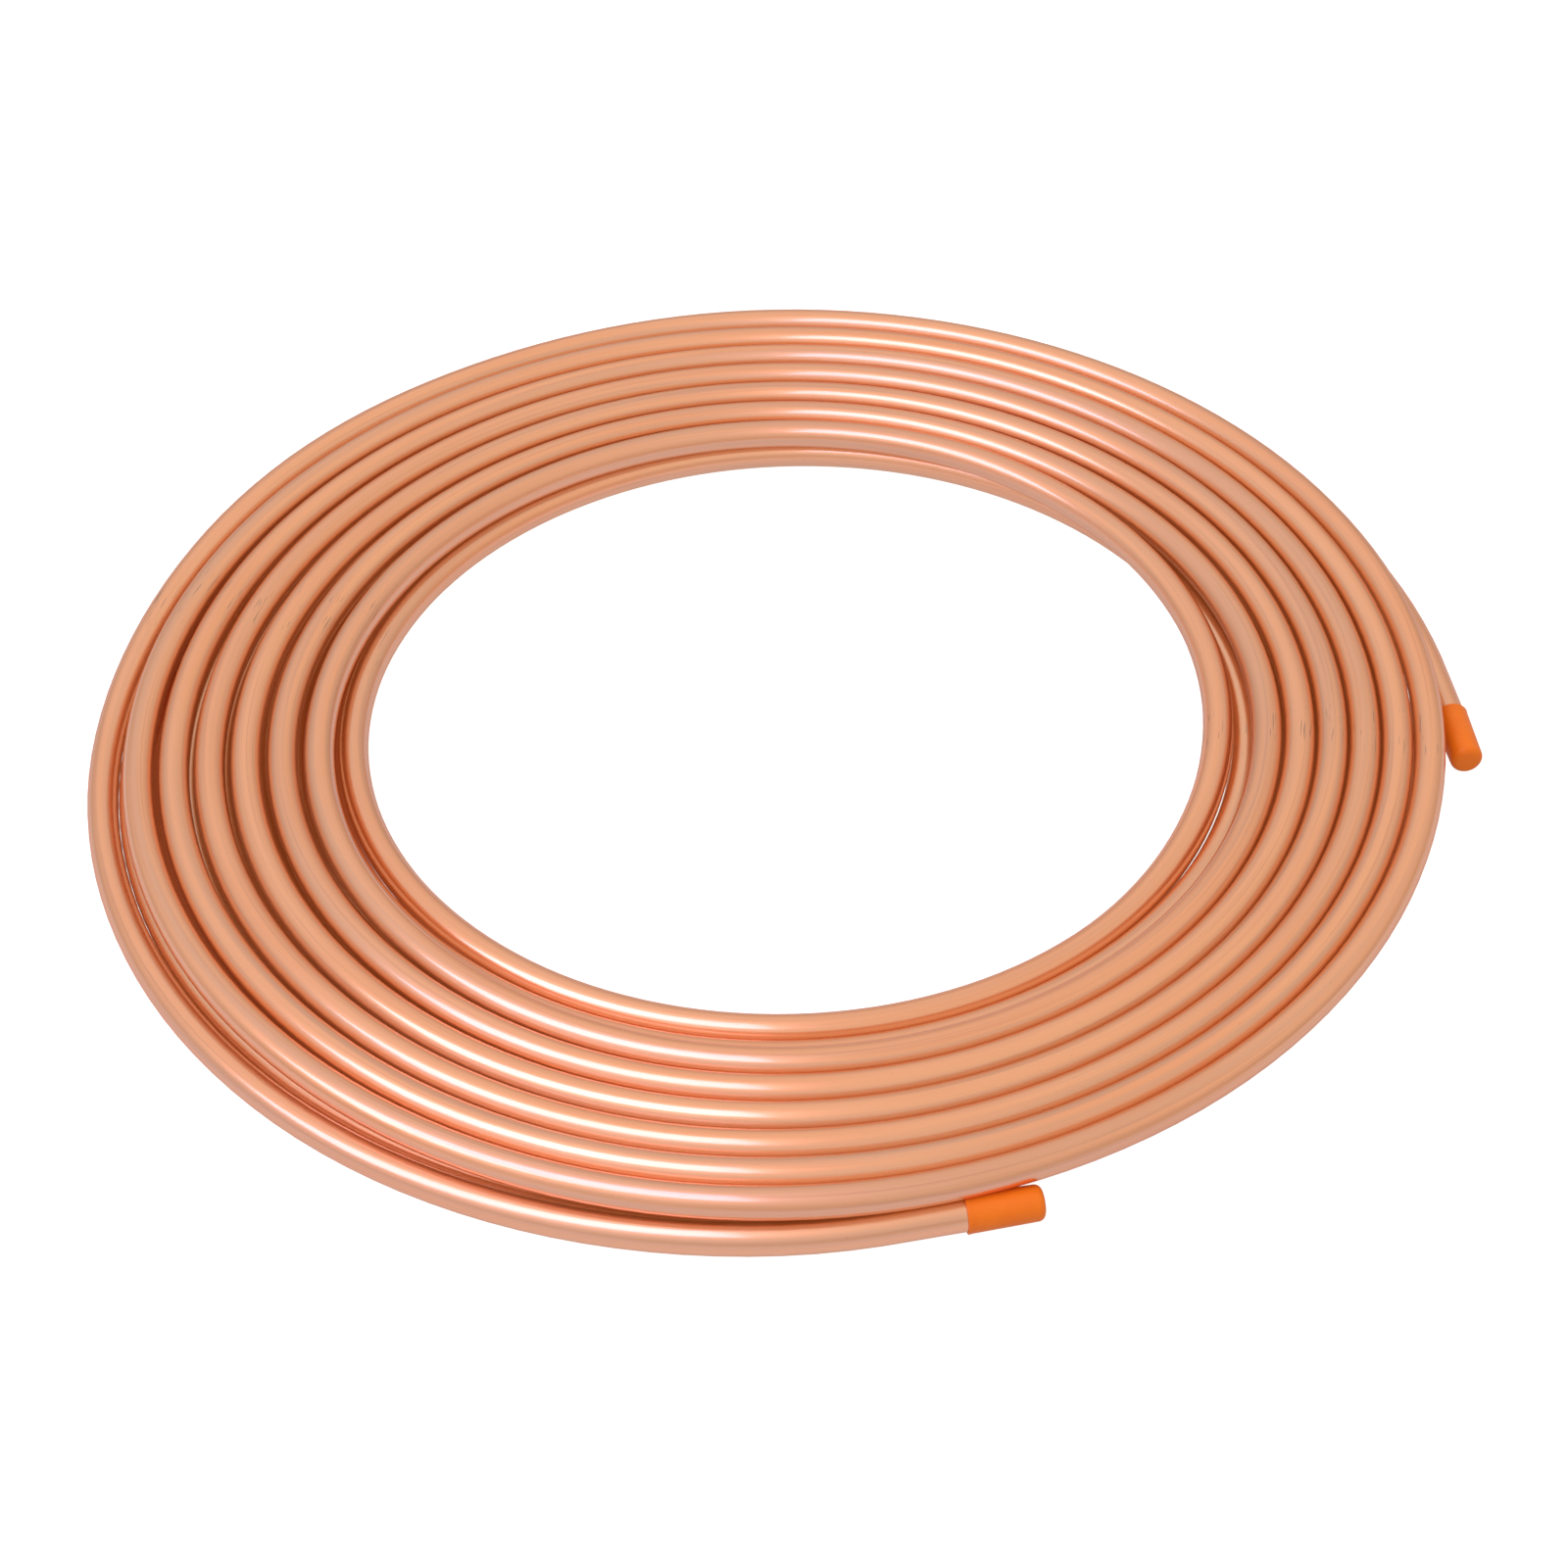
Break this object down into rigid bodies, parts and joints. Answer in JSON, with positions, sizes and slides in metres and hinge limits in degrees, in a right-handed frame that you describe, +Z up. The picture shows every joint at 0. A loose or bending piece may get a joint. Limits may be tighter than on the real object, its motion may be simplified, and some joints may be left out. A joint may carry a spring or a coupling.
{
  "type": "copper tube coil",
  "caption": "Soft copper tube wound into a flat two-layer coil, with an orange push-on cap on each free end.",
  "frame": {"origin": "middle of the part's outline seen from above, on the floor it lies on", "axes": "+Z up along the coil's axis; the front tail ends towards -Y, the side tail towards +X"},
  "size_m": [0.4338, 0.4252, 0.0191],
  "materials": {
    "copper_tube": "bright drawn copper",
    "orange_cap": "satin"
  },
  "bodies": {
    "root": {"tube_coil": "copper_tube", "end_cap_front": "orange_cap", "end_cap_side": "orange_cap"}
  },
  "joints": []
}
